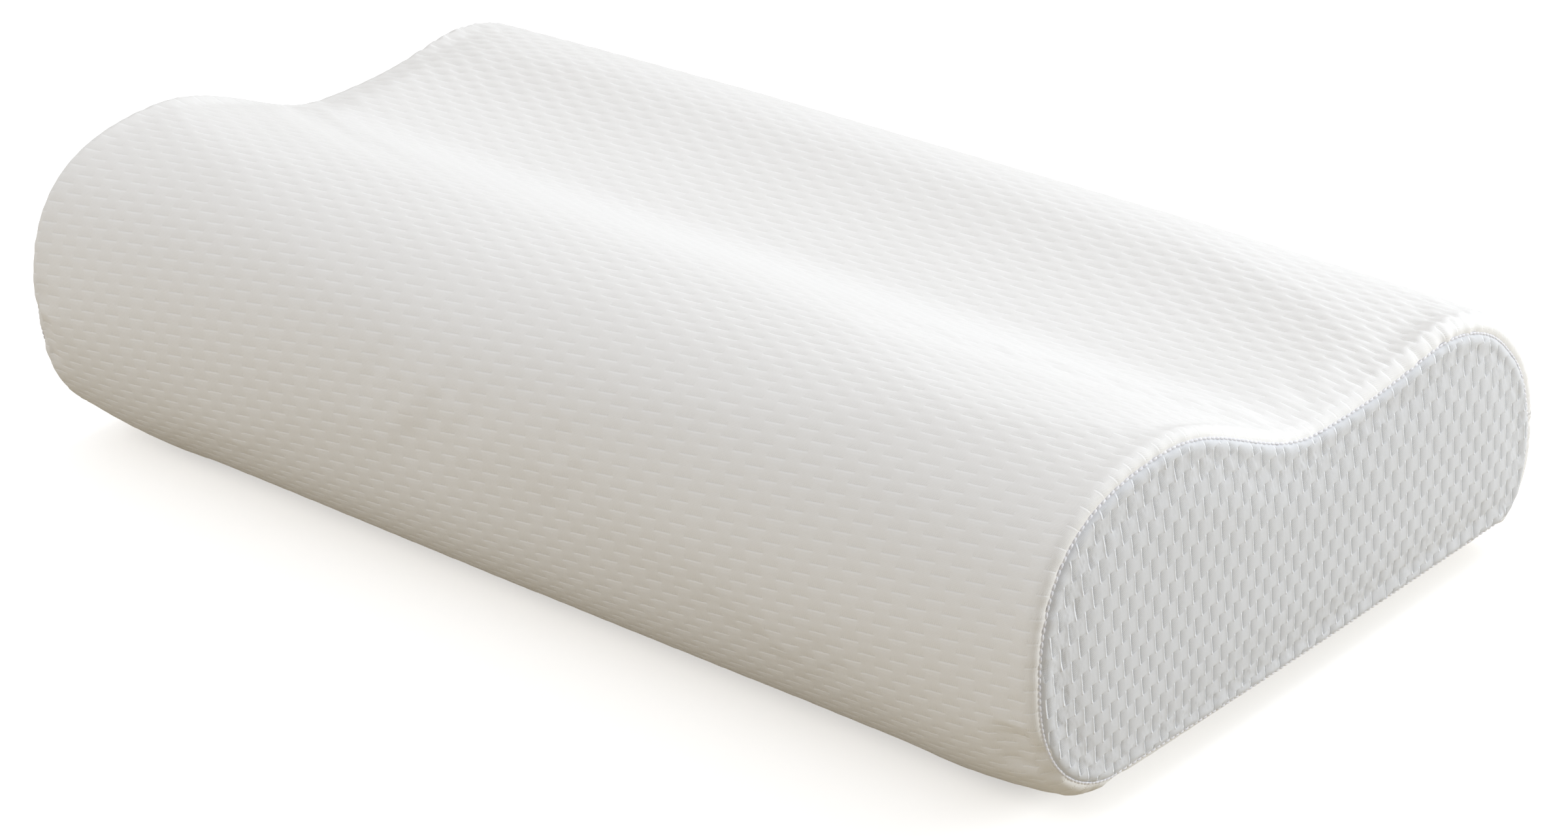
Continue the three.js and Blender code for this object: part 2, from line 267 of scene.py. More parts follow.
def get_normals(made):
    normals = np.empty(len(made.data.vertices) * 3, np.float32)
    made.data.vertex_normals.foreach_get("vector", normals)
    return normals.reshape(-1, 3).astype(float)


def tree_of(points):
    """A search tree over flat points."""
    tree = kdtree.KDTree(len(points))
    for k, (y, z) in enumerate(points):
        tree.insert((y, z, 0), k)
    tree.balance()
    return tree


def grid_faces(rows, columns, loop=False, keep=None):
    """Quads of a grid of points, facing out where rows run upwards and columns run left."""
    j, i = np.meshgrid(np.arange(rows if loop else rows - 1), np.arange(columns - 1), indexing="ij")
    if keep is not None:
        j, i = j[keep(j, i)], i[keep(j, i)]
    j, i = j.ravel(), i.ravel()
    above = (j + 1) % rows
    low, high = j * columns + i, above * columns + i
    return np.stack([low, high, high + 1, low + 1], axis=1)


def bag_faces(rows, columns, triangles, panel_points):
    """Faces of a wrap's grid, its right end panel and its left one, whose points follow each
    other in that order, with each panel's first point."""
    first_right = rows * columns
    first_left = first_right + panel_points
    faces = grid_faces(rows, columns, loop=True).tolist()
    faces += (triangles + first_right).tolist() + (triangles[:, ::-1] + first_left).tolist()
    return faces, first_right, first_left


@contextlib.contextmanager
def editing(made):
    """The object's mesh as a bmesh, written back at the end."""
    mesh = bmesh.new()
    mesh.from_mesh(made.data)
    yield mesh
    mesh.to_mesh(made.data)
    mesh.free()


def outwards(made):
    with editing(made) as mesh:
        bmesh.ops.recalc_face_normals(mesh, faces=mesh.faces)


def drop_loose(made):
    with editing(made) as mesh:
        loose = [v for v in mesh.verts if not v.link_faces]
        bmesh.ops.delete(mesh, geom=loose, context="VERTS")


def turn_in(made, depths):
    """Turns every open edge of a sheet inwards, as a sewn edge is, in steps of those depths."""
    with editing(made) as mesh:
        mesh.normal_update()
        edges = [e for e in mesh.edges if e.is_boundary]
        normals = {v: v.normal.copy() for e in edges for v in e.verts}
        for depth in depths:
            grown = bmesh.ops.extrude_edge_only(mesh, edges=edges)["geom"]
            fresh = [g for g in grown if isinstance(g, bmesh.types.BMVert)]
            edges = [g for g in grown if isinstance(g, bmesh.types.BMEdge) and g.is_boundary]
            kept = {}
            for v in fresh:
                old = next(e.other_vert(v) for e in v.link_edges if e.other_vert(v) in normals)
                kept[v] = normals[old]
                v.co = v.co - normals[old] * depth
            normals = kept
        for f in mesh.faces:
            f.smooth = True


def panel_mesh(s, layer, seam_inset, rings, step, centre_step):
    """An end panel's flat points and triangles: rings inside the seam, then a plain grid.
    Returns (y, z) points, triangles, and each point's distance in from the seam."""
    seam_y, seam_z = OUTLINE.at(s, layer + seam_inset)
    flat, inside = [], []
    for ring in rings:
        y, z = OUTLINE.at(s, layer + seam_inset + ring)
        flat.append(np.stack([y, z], axis=1))
        inside.append(np.full(len(s), ring))
    tree = tree_of(list(zip(seam_y, seam_z)))
    seam_in_y, seam_in_z = OUTLINE.at(s, layer + seam_inset + MM)
    inward = np.stack([seam_in_y - seam_y, seam_in_z - seam_z], axis=1)
    grid_y, grid_z = np.meshgrid(
        np.arange(seam_y.min(), seam_y.max(), step), np.arange(seam_z.min(), seam_z.max(), centre_step)
    )
    for y, z in zip(grid_y.ravel(), grid_z.ravel()):
        _, k, distance = tree.find((y, z, 0))
        side = (y - seam_y[k]) * inward[k, 0] + (z - seam_z[k]) * inward[k, 1]
        if side > 0 and distance > rings[-1] + 0.6 * step:
            flat.append(np.array([[y, z]]))
            inside.append(np.array([distance]))
    flat, inside = np.vstack(flat), np.concatenate(inside)
    border = [list(range(len(s)))]
    _, _, faces, origin, _, _ = geometry.delaunay_2d_cdt([Vector(p) for p in flat], [], border, 1, 1e-7)
    source = [o[0] for o in origin]
    return flat, np.array([[source[v] for v in f] for f in faces]), inside


def open_pocket(along, column):
    """1 along a column's grooves, and 0 between them."""
    phase = np.mod((along + column * PERIOD / 2) / PERIOD, 1)
    return np.clip(1.8 * np.sin(math.pi * phase / POCKET_SHARE), 0, 1) * (phase < POCKET_SHARE)


def pocket_grooves(along, across, steep_side, fall):
    """How deep the knit's grooves are, at the cloth's own coordinates: each rises gently to the
    next column, and steeply to a lip on its other side. fall is how fast the gentle side rises."""
    column = np.floor(across / PITCH)
    off = across / PITCH - column
    before_next = (1 - off) / steep_side
    gentle = open_pocket(along, column) * (1 - off) ** fall
    steep = open_pocket(along, column + 1) * np.exp(-(before_next**2))
    lip = open_pocket(along, column + 1) * LIP_SHARE * np.exp(-((before_next - 2) ** 2))
    return np.maximum(gentle, steep) - lip


def puckers(s, strength):
    """Small uneven gathers along a seam."""
    wave = np.sin(2 * math.pi * s / (7.3 * MM)) + 0.8 * np.sin(2 * math.pi * s / (11.9 * MM) + 1.3)
    swell = 0.6 + 0.4 * np.sin(2 * math.pi * s / (83 * MM) + 0.5)
    return strength * wave * swell


# ---- The knitted cover ----

WRAP_GROOVE = 0.27 * MM
WRAP_STEEP_SIDE = 0.20  # as a share of the pitch
WRAP_FALL = 2.4
PANEL_GROOVE = 0.36 * MM
PANEL_STEEP_SIDE = 0.10
PANEL_FALL = 2.0
LIP_SHARE = 0.3  # how high the lip stands, as a share of the groove's depth
SEAM_VALLEY = 0.9 * MM
SEAM_VALLEY_WIDTH = 0.9 * MM
SEAM_ROLL_AT = 3.2 * MM  # where the soft roll beside the seam is highest
BACK_SLACK = 2.3  # how much deeper the grooves are at the end of the back's rise
BACK_GATHER = 1.2  # how much stronger the puckers are there
SIM_STEP = 7 * MM
SIM_START = 1.5 * MM  # how far inside its final place the cloth starts
SIM_CAP = 2.6 * MM  # how far it may move
SIM_FRAMES = 20
SIM_SETTINGS = {
    "quality": 5,
    "mass": 0.3,
    "tension_stiffness": 12,
    "compression_stiffness": 12,
    "shear_stiffness": 6,
    "bending_stiffness": 0.8,
    "use_pressure": True,
    "uniform_pressure_force": 4,
}
ZIP_HOLD = (17 * MM, 42 * MM)  # the zip's tape holds the wrap in place this far from the zip


def seam_start(edge):
    """How far inside its final place the cloth starts, by its distance from the end seam."""
    return SIM_START * smooth(0, 14 * MM, edge)


def simulated_cover():
    """Blows the cover up a little inside its end seams. Returns the coarse grid's columns and
    rows with how far each point moved, and the same for the points of one end panel."""
    x, share = stations(SIM_STEP, 3)
    s = np.linspace(0, OUTLINE.length, round(OUTLINE.length / SIM_STEP), endpoint=False)
    seam = cover_seam_inset(s)
    wrap = tube_points(x, share, s, 0, seam)
    rows, columns = wrap.shape[:2]
    flat, triangles, inside = panel_mesh(s, 0, seam, (0, 3 * MM), SIM_STEP, SIM_STEP)
    reach = panel_reach(inside + SEAM_INSET, 0)
    right, left = (np.column_stack([sign * reach, flat]) for sign in (1, -1))
    right[:rows] = wrap[:, -1]
    left[:rows] = wrap[:, 0]
    points = np.vstack([wrap.reshape(-1, 3), right, left])
    faces, first_right, first_left = bag_faces(rows, columns, triangles, len(flat))
    made = make_object("cover_simulation", settle(points), faces)

    with editing(made) as mesh:
        order = mesh.verts.layers.int.new("order")
        mesh.verts.ensure_lookup_table()
        target = {}
        for j in range(rows):
            target[mesh.verts[first_right + j]] = mesh.verts[j * columns + columns - 1]
            target[mesh.verts[first_left + j]] = mesh.verts[j * columns]
        for v in mesh.verts:
            v[order] = v.index
        bmesh.ops.weld_verts(mesh, targetmap=target)
        bmesh.ops.recalc_face_normals(mesh, faces=mesh.faces)

    kept = np.empty(len(made.data.vertices), np.int32)
    made.data.attributes["order"].data.foreach_get("value", kept)
    seam_rows = {j * columns for j in range(rows)} | {j * columns + columns - 1 for j in range(rows)}
    pins = made.vertex_groups.new(name="pins")
    pins.add([int(k) for k, o in enumerate(kept) if int(o) in seam_rows], 1.0, "REPLACE")
    edge = np.concatenate(
        [
            np.broadcast_to(STRAIGHT - np.abs(x) + 8 * MM * (1 - np.abs(share)), (rows, columns)).ravel(),
            inside,
            inside,
        ]
    )[kept]
    start = get_points(made) - get_normals(made) * seam_start(edge)[:, None]
    set_points(made, start)
    cloth = made.modifiers.new("cloth", "CLOTH")
    for key, value in SIM_SETTINGS.items():
        setattr(cloth.settings, key, value)
    cloth.settings.vertex_group_mass = pins.name
    cloth.settings.effector_weights.gravity = 0
    cloth.point_cache.frame_start = 1
    cloth.point_cache.frame_end = SIM_FRAMES
    scene = bpy.context.scene
    for number in range(1, SIM_FRAMES + 1):
        scene.frame_set(number)
    solved = made.evaluated_get(bpy.context.evaluated_depsgraph_get())
    after = np.empty(len(kept) * 3, np.float32)
    solved.data.vertices.foreach_get("co", after)
    moved = after.reshape(-1, 3) - start
    scene.frame_set(1)
    size = np.linalg.norm(moved, axis=1)
    moved *= (np.minimum(size, SIM_CAP) / np.maximum(size, 1e-9))[:, None]
    everywhere = np.zeros((len(points), 3))
    everywhere[kept] = moved
    bpy.data.objects.remove(made)
    return {
        "s": s,
        "x": x,
        "share": share,
        "wrap": everywhere[:first_right].reshape(rows, columns, 3),
        "flat": flat,
        "right": everywhere[first_right:first_left],
        "left": everywhere[first_left:],
    }


def column_place(x, share):
    """A single rising number for a place along a row."""
    return x + share * 8 * MM


def moved_wrap(simulated, x, share, s):
    """How far the simulation moved each point of a finer wrap."""
    coarse = simulated["wrap"]
    coarse = np.concatenate([coarse, coarse[:1]])
    coarse_s = np.append(simulated["s"], OUTLINE.length)
    place = column_place(x, share)
    coarse_place = column_place(simulated["x"], simulated["share"])
    out = np.empty((len(s), len(x), 3))
    for axis in range(3):
        by_row = np.stack([np.interp(place, coarse_place, row) for row in coarse[:, :, axis]])
        for i in range(len(x)):
            out[:, i, axis] = np.interp(np.mod(s, OUTLINE.length), coarse_s, by_row[:, i])
    return out


def moved_panel(simulated, side, flat, edge):
    """How far the simulation moved each point of a finer panel."""
    coarse = simulated[side]
    tree = tree_of(simulated["flat"])
    out = np.empty((len(flat), 3))
    for k, (y, z) in enumerate(flat):
        near = tree.find_n((y, z, 0), 6)
        weight = np.array([1 / (distance**2 + (2 * MM) ** 2) for _, _, distance in near])
        out[k] = weight @ coarse[[index for _, index, _ in near]] / weight.sum()
    return out * smooth(0, 6 * MM, edge)[:, None]


def wrap_rows():
    """Rows round the cover: four to a column of pockets, and fewer under the sole. The last of
    them cross the zip's slot."""
    y, z = OUTLINE.table[:-1, 0], OUTLINE.table[:-1, 1]
    sole = OUTLINE.distance[:-1][(z < 1e-6)]
    fine = PITCH / 4
    low, high = SLOT_HALF_WIDTH, OUTLINE.length - SLOT_HALF_WIDTH
    rows = [
        span(low, sole.min(), fine),
        span(sole.min(), sole.max(), PITCH),
        span(sole.max(), high, fine),
        span(high, OUTLINE.length + low, fine),
    ]
    return np.concatenate(rows), len(rows[3])


def raise_relief(made, points, height):
    """Moves each point out along the cloth's normal, and none through the table."""
    points = points + get_normals(made).reshape(points.shape) * height[..., None]
    points[..., 2] = np.maximum(points[..., 2], 0)
    set_points(made, points)


def seam_relief(edge, s, back_gain):
    """The cloth's height beside a seam: a narrow valley, a soft roll and small puckers."""
    roll = ridge(edge - SEAM_ROLL_AT, 0.35 * MM, 1.8 * MM)
    gather = puckers(s, 0.16 * MM) * np.exp(-edge / (6 * MM)) * (1 + back_gain)
    return roll + gather - ridge(edge, SEAM_VALLEY, SEAM_VALLEY_WIDTH)


def back_rise(s):
    """1 on the rise from the valley to the back lobe, where the wrap is gathered most."""
    y, z = OUTLINE.at(s)
    return smooth(20 * MM, 60 * MM, y) * smooth(60 * MM, 90 * MM, z)


def make_cover_wrap(simulated):
    x, share = stations(PERIOD / 5, 10)
    s, slot_rows = wrap_rows()
    base = tube_points(x, share, s, 0, cover_seam_inset(s))
    rows, columns = base.shape[:2]
    along, half, mean_length = row_lengths(base)
    along = along - half
    edge = half - np.abs(along)
    around = np.broadcast_to(s[:, None], along.shape)
    top_skew, front_skew = WRAP_SKEW
    skew = top_skew + (front_skew - top_skew) * smooth(100 * MM, 330 * MM, around)
    across = -around - skew * along

    def keep(j, i):
        in_slot = j >= rows - slot_rows
        return ~(in_slot & (x[i] >= -SLOT_HALF_LENGTH - 1e-6) & (x[i] < SLOT_HALF_LENGTH - 1e-6))

    made = make_object(
        "cover_wrap_knit",
        settle(base),
        grid_faces(rows, columns, loop=True, keep=keep),
        {"along": along, "across": across, "edge": edge, "around": around},
    )
    normals = get_normals(made).reshape(rows, columns, 3)
    start = settle(base) - normals * seam_start(edge)[..., None]
    if simulated is None:
        moved = normals * seam_start(edge)[..., None]
    else:
        moved = moved_wrap(simulated, x, share, s)
    join_line = np.minimum(around, OUTLINE.length - around)
    held = (1 - smooth(ZIP_HOLD[0], ZIP_HOLD[1], join_line))[..., None]
    moved = moved * (1 - held) + normals * seam_start(edge)[..., None] * held
    set_points(made, start + moved)

    on_sole = 1 - smooth(0, 6 * MM, (start + moved)[..., 2] - 1 * MM)
    fade = smooth(2 * MM, 9 * MM, edge) * (1 - 0.8 * on_sole)
    fade *= 1 + BACK_SLACK * back_rise(around) * np.exp(-edge / (90 * MM))
    height = -WRAP_GROOVE * pocket_grooves(along, across, WRAP_STEEP_SIDE, WRAP_FALL) * fade
    height += seam_relief(edge, around, BACK_GATHER * back_rise(around))
    past_slot = smooth(SLOT_HALF_LENGTH, SLOT_HALF_LENGTH + 6 * MM, np.abs((start + moved)[..., 0]))
    height -= ridge(join_line, 0.6 * MM, 1.2 * MM) * past_slot
    height -= ridge(join_line - STITCH_LINE, 0.35 * MM, 0.8 * MM)
    raise_relief(made, start + moved, height)
    drop_loose(made)
    turn_in(made, (0.7 * MM, 1.1 * MM))
    return made, mean_length


def cover_panel():
    """The flat mesh that both end panels share."""
    s = np.linspace(0, OUTLINE.length, 700, endpoint=False)
    seam = cover_seam_inset(s)
    rings = np.array([0, 0.35, 0.75, 1.2, 1.8, 2.4, 3.0]) * MM
    return s, seam, *panel_mesh(s, 0, seam, rings, PITCH / 9, PERIOD / 10)


def make_cover_end(simulated, side, sign, shared):
    s, seam, flat, triangles, edge = shared
    tree = tree_of(list(zip(*OUTLINE.at(s, seam))))
    nearest = np.array([tree.find((y, z, 0))[1] for y, z in flat])
    reach = panel_reach(seam[nearest] + edge, 0)
    base = settle(np.column_stack([sign * reach, flat]))
    row_lean, column_lean = PANEL_SKEW
    across = sign * flat[:, 0] + column_lean * flat[:, 1]
    along = flat[:, 1] - row_lean * sign * flat[:, 0]
    around = s[nearest]
    made = make_object(
        f"cover_end_knit_{side}",
        base,
        triangles[:, ::sign],
        {"along": along, "across": across, "edge": edge, "around": around},
    )
    normals = get_normals(made)
    start = base - normals * seam_start(edge)[:, None]
    if simulated is None:
        moved = normals * seam_start(edge)[:, None]
    else:
        moved = moved_panel(simulated, side, flat, edge)
    set_points(made, start + moved)
    fade = smooth(0.3 * MM, 2.2 * MM, edge)
    height = -PANEL_GROOVE * pocket_grooves(along, across, PANEL_STEEP_SIDE, PANEL_FALL) * fade
    height += seam_relief(edge, around, 0)
    raise_relief(made, start + moved, height)
    turn_in(made, (0.7 * MM, 1.6 * MM))
    return made


# ---- Stitches and tubes ----


def ring_faces(rings, sides):
    """Quads between each ring of points and the next, then a cap at either end."""
    faces = []
    for low in range(0, (rings - 1) * sides, sides):
        for k in range(sides):
            here, after = low + k, low + (k + 1) % sides
            faces.append([here, after, after + sides, here + sides])
    last = (rings - 1) * sides
    return faces + [list(range(sides - 1, -1, -1)), list(range(last, last + sides))]


def stitch_mesh(name, centre, along, out, length, width, height):
    """Short rounded stitches: centre, along and out are arrays with a row for each stitch."""
    sides = 6
    shares = np.array([-0.5, -0.42, -0.22, 0.0, 0.22, 0.42, 0.5])
    girth = np.array([0.25, 0.75, 1.0, 1.0, 1.0, 0.75, 0.25])
    arch = 1 - (2 * shares) ** 2
    angle = np.linspace(0, 2 * math.pi, sides, endpoint=False)
    template = np.array(
        [
            (share, math.cos(a) * g, math.sin(a) * g + 1.6 * rise)
            for share, g, rise in zip(shares, girth, arch)
            for a in angle
        ]
    )
    side = np.cross(out, along)
    points = (
        centre[:, None]
        + template[None, :, :1] * length * along[:, None]
        + template[None, :, 1:2] * width / 2 * side[:, None]
        + template[None, :, 2:] * height / 2 * out[:, None]
    )
    faces = ring_faces(len(shares), sides)
    count = len(template)
    joined = [[v + count * n for v in face] for n in range(len(centre)) for face in faces]
    made = make_object(name, points, joined)
    outwards(made)
    return made


def tube(name, path, out, radius, sides):
    """A round tube along a path, with out a direction that the path never follows."""
    ahead = np.gradient(path, axis=0)
    ahead /= np.linalg.norm(ahead, axis=1)[:, None]
    side = np.cross(ahead, out)
    side /= np.linalg.norm(side, axis=1)[:, None]
    up = np.cross(side, ahead)
    angle = np.linspace(0, 2 * math.pi, sides, endpoint=False)
    points = path[:, None] + radius * (
        np.cos(angle)[None, :, None] * side[:, None] + np.sin(angle)[None, :, None] * up[:, None]
    )
    made = make_object(name, points, ring_faces(len(path), sides))
    outwards(made)
    return made


def seam_frames(layer, seam_inset, sign, spacing, sink):
    """Points along an end seam, with the directions along it and out of it."""
    count = round(OUTLINE.length / spacing)
    s = np.linspace(0, OUTLINE.length, count, endpoint=False)
    seam = seam_inset(s)
    here = np.column_stack([sign * panel_reach(layer + seam, layer), *OUTLINE.at(s, layer + seam)])
    drop, run = END_DROP - layer, END_RUN - layer
    turn = np.arccos(1 - np.clip(seam / drop, 0, 1))
    lean_x, lean_out = np.sin(turn) / run, np.cos(turn) / drop
    scale = np.hypot(lean_x, lean_out)
    in_y, in_z = (a - b for a, b in zip(OUTLINE.at(s, 1.0), OUTLINE.at(s, 0.0)))
    out = np.column_stack([sign * lean_x / scale, -in_y * lean_out / scale, -in_z * lean_out / scale])
    here = settle(here)
    ahead = np.roll(here, -1, 0) - np.roll(here, 1, 0)
    ahead /= np.linalg.norm(ahead, axis=1)[:, None]
    out -= ahead * np.sum(out * ahead, axis=1)[:, None]
    out /= np.linalg.norm(out, axis=1)[:, None]
    return here - out * sink, ahead, out


# ---- Thin strips, coils and metal ----


def slab(name, outer, inner, coordinates=None):
    """A closed thin piece between two grids of points of the same shape."""
    rows, columns = outer.shape[:2]
    count = rows * columns
    faces = grid_faces(rows, columns).tolist()
    faces += (grid_faces(rows, columns)[:, ::-1] + count).tolist()
    rim = list(range(columns))
    rim += [j * columns + columns - 1 for j in range(1, rows)]
    rim += [(rows - 1) * columns + i for i in range(columns - 2, -1, -1)]
    rim += [j * columns for j in range(rows - 2, 0, -1)]
    for k, v in enumerate(rim):
        w = rim[(k + 1) % len(rim)]
        faces.append([v, w, w + count, v + count])
    values = {key: np.concatenate([v.ravel(), v.ravel()]) for key, v in (coordinates or {}).items()}
    made = make_object(name, np.concatenate([outer.reshape(-1, 3), inner.reshape(-1, 3)]), faces, values)
    outwards(made)
    return made


def along_x(count):
    """That many directions along X."""
    return np.tile([1.0, 0.0, 0.0], (count, 1))


def back_strip(name, s_from, s_to, x_from, x_to, outer, inner, step=1.2 * MM):
    """A strip on the back of the pillow, between two distances up from the zip."""
    x = np.append(span(x_from, x_to, 2 * MM), x_to)
    s = np.append(span(s_from, s_to, step), s_to)
    grids = []
    for inset in (outer, inner):
        y, z = OUTLINE.at(s[:, None] + 0 * x[None, :], inset + 0 * x[None, :])
        grids.append(settle(np.stack([np.broadcast_to(x, y.shape), y, z], axis=-1)))
    along, across = np.meshgrid(x, s)
    return slab(name, *grids, {"along": along, "across": across})


def round_edges(made, width, segments, degrees):
    """Rounds the edges sharper than that, and shades the piece smooth."""
    bevel = made.modifiers.new("edges", "BEVEL")
    bevel.width = width
    bevel.segments = segments
    bevel.limit_method = "ANGLE"
    bevel.angle_limit = math.radians(degrees)
    bpy.context.view_layer.update()
    solved = made.evaluated_get(bpy.context.evaluated_depsgraph_get())
    finished = bpy.data.meshes.new_from_object(solved)
    made.modifiers.clear()
    made.data = finished
    for polygon in made.data.polygons:
        polygon.use_smooth = True


def softened(node, name, width):
    """A CAD metal piece with its facets joined up and its edges rounded."""
    made = linked(name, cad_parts[node].data.copy())
    made.data.materials.clear()
    with editing(made) as mesh:
        bmesh.ops.remove_doubles(mesh, verts=mesh.verts, dist=1e-6)
        bmesh.ops.dissolve_limit(mesh, angle_limit=math.radians(4), verts=mesh.verts, edges=mesh.edges)
    round_edges(made, width, 3, 32)
    made.data.set_sharp_from_angle(angle=math.radians(40))
    return made


COIL_PITCH = 1.5 * MM
COIL_WIRE = 0.28 * MM


def make_coil(row, sign):
    """One row of zip coil: a nylon thread wound flat, whose heads reach past the middle."""
    low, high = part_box(f"zip_coil_{row}")
    middle_y = (low.y + high.y) / 2
    reach_y = (high.y - low.y) / 2 - COIL_WIRE
    zip_z = BACK_BULGE[1]
    far = (high.z if sign > 0 else low.z) - sign * COIL_WIRE
    head = zip_z - sign * 0.35 * MM
    middle_z, reach_z = (far + head) / 2, abs(far - head) / 2
    turns = int((high.x - low.x - 2 * MM) / COIL_PITCH)
    steps = 12
    angle = np.arange(turns * steps) * 2 * math.pi / steps
    lean = COIL_PITCH / 2 if sign > 0 else 0
    x = low.x + MM + lean + angle / (2 * math.pi) * COIL_PITCH
    keep = x < high.x - 0.5 * MM
    x, angle = x[keep], angle[keep]
    y = middle_y + reach_y * np.cos(angle)
    path = np.column_stack([x, y, middle_z + sign * reach_z * np.sin(angle)])
    return tube(f"zip_coil_teeth_{row}", path, along_x(len(x)), COIL_WIRE, sides=6)


def make_stop(node, name):
    """A small crimped metal clip with rounded edges and a waist."""
    low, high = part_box(node)
    mesh = bmesh.new()
    bmesh.ops.create_cube(mesh, size=1)
    bmesh.ops.subdivide_edges(mesh, edges=mesh.edges, cuts=4, use_grid_fill=True)
    size = high - low
    middle = (high + low) / 2
    for v in mesh.verts:
        waist = 1 - 0.16 * math.cos(math.pi * v.co.x) ** 2
        v.co = Vector((v.co.x * size.x, v.co.y * size.y * waist, v.co.z * size.z * waist)) + middle
    rounded = bpy.data.meshes.new(name)
    mesh.to_mesh(rounded)
    mesh.free()
    made = linked(name, rounded)
    round_edges(made, 0.45 * MM, 4, 30)
    return made


# ---- Liner and foam ----


def make_liner_wrap():
    x, share = stations(4 * MM, 5)
    s = np.linspace(0, OUTLINE.length, 190, endpoint=False)
    seam = liner_seam_inset(s)
    base = tube_points(x, share, s, LINER_INSET, seam)
    rows, columns = base.shape[:2]
    along, half, mean_length = row_lengths(base)
    edge = half - np.abs(along - half)
    across = np.broadcast_to(s[:, None], along.shape)
    faces = grid_faces(rows, columns, loop=True)
    made = make_object("liner_wrap_tricot", settle(base), faces, {"along": along, "across": across})
    gather = puckers(across, 0.08 * MM) * np.exp(-edge / (7 * MM))
    height = gather - ridge(edge, LINER_VALLEY, LINER_VALLEY_WIDTH)
    set_points(made, get_points(made) + get_normals(made) * height.reshape(-1, 1))
    turn_in(made, (0.5 * MM, 0.8 * MM))
    return made, mean_length


def make_liner_end(side, sign):
    s = np.linspace(0, OUTLINE.length, 190, endpoint=False)
    seam = liner_seam_inset(s)
    flat, triangles, edge = panel_mesh(s, LINER_INSET, seam, (0, 1.2 * MM, 2.6 * MM), 3.5 * MM, 3.5 * MM)
    reach = panel_reach(LINER_INSET + LINER_SEAM_INSET + edge, LINER_INSET)
    made = make_object(
        f"liner_end_tricot_{side}",
        settle(np.column_stack([sign * reach, flat])),
        triangles[:, ::sign],
        {"along": flat[:, 1], "across": sign * flat[:, 0]},
    )
    height = -ridge(edge, LINER_VALLEY, LINER_VALLEY_WIDTH)
    set_points(made, get_points(made) + get_normals(made) * height.reshape(-1, 1))
    turn_in(made, (0.5 * MM, 0.8 * MM))
    return made


def make_foam():
    x, share = stations(5 * MM, 6)
    s = np.linspace(0, OUTLINE.length, 170, endpoint=False)
    drop = END_DROP - FOAM_INSET
    seam = np.full(len(s), drop)
    base = tube_points(x, share, s, FOAM_INSET, seam)
    rows, columns = base.shape[:2]
    flat, triangles, _ = panel_mesh(s, FOAM_INSET, seam, (0, 2.5 * MM), 4.5 * MM, 4.5 * MM)
    reach = np.full(len(flat), HALF - FOAM_INSET)
    ends = [np.column_stack([sign * reach, flat]) for sign in (1, -1)]
    faces = bag_faces(rows, columns, triangles, len(flat))[0]
    made = make_object("foam_core_moulded", settle(np.vstack([base.reshape(-1, 3), *ends])), faces)
    with editing(made) as mesh:
        bmesh.ops.remove_doubles(mesh, verts=mesh.verts, dist=1e-5)
    outwards(made)
    return made


# ---- Materials ----


